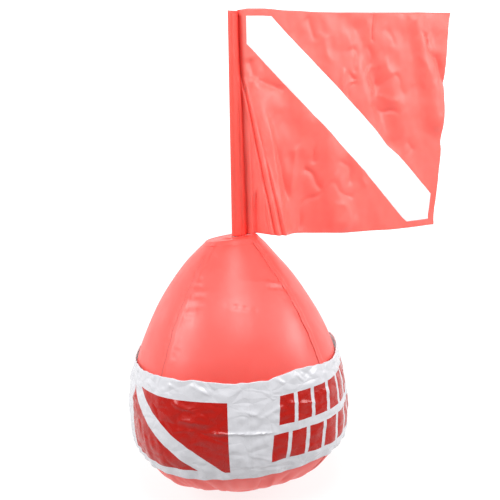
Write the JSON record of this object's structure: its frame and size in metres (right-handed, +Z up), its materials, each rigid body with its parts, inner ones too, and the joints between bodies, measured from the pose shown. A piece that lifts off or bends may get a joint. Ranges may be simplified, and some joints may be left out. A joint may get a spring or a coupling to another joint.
{
  "type": "dive flag float",
  "caption": "Inflatable float that stands a diver-down flag upright on the water: gored vinyl body, loose printed band, lift-out mast in a flag sleeve, ballast, mouth valve, tow ring.",
  "frame": {"origin": "centre of the base disc's flat underside, which the float stands on", "axes": "+Z up; the flag flies towards +X, turned 18 degrees towards +Y; the viewer stands at -Y; the mouth valve and the tow ring are on the back, at +Y"},
  "size_m": [0.5652, 0.3635, 0.775],
  "materials": {
    "body_vinyl": "glossy soft red vinyl sheet",
    "band_vinyl": "glossy white vinyl sheet printed in red",
    "flag_vinyl": "semi-gloss red flag vinyl",
    "stripe_vinyl": "semi-gloss white flag vinyl",
    "mast_plastic": "drawn white tube",
    "plug_plastic": "moulded black plug",
    "socket_plastic": "moulded soft white vinyl",
    "valve_plastic": "moulded soft translucent vinyl",
    "webbing": "woven black webbing",
    "ring_steel": "stainless wire",
    "ballast_iron": "plain cast disc"
  },
  "bodies": {
    "float_body": {"gore_right": "body_vinyl", "gore_back": "body_vinyl", "gore_left": "body_vinyl", "gore_front": "body_vinyl", "top_cap": "body_vinyl", "base_disc": "body_vinyl", "printed_band": "band_vinyl", "ballast_pouch": "body_vinyl", "ballast_weight": "ballast_iron", "mast_socket": "socket_plastic", "valve_flange": "valve_plastic", "tow_patch": "body_vinyl", "tow_strap": "webbing"},
    "mast": {"mast_tube": "mast_plastic", "mast_foot": "plug_plastic", "mast_tip": "plug_plastic"},
    "flag": {"flag_sleeve": "flag_vinyl", "flag_panel": "flag_vinyl", "flag_stripe": "stripe_vinyl"},
    "stem": {"valve_stem": "valve_plastic"},
    "cap": {"valve_cap": "valve_plastic"},
    "ring": {"tow_ring": "ring_steel"}
  },
  "joints": [
    {"name": "mast_lift", "type": "slide", "parent": "float_body", "child": "mast", "axis": [0.0244, 0, 0.9997], "range_m": [0, 0.1]},
    {"name": "flag_swing", "type": "hinge", "parent": "mast", "child": "flag", "pos_m": [0.006, 0, 0.418], "axis": [0.0244, 0, 0.9997], "continuous": true},
    {"name": "valve_pull", "type": "slide", "parent": "float_body", "child": "stem", "axis": [0, 0.8754, 0.4834], "range_m": [0, 0.012]},
    {"name": "cap_open", "type": "hinge", "parent": "stem", "child": "cap", "pos_m": [0, 0.12969, 0.31309], "axis": [1, 0, 0], "range_deg": [0, 120]},
    {"name": "ring_swing", "type": "hinge", "parent": "float_body", "child": "ring", "pos_m": [0, 0.14157, 0.03703], "axis": [1, 0, 0], "range_deg": [-45, 120]}
  ]
}
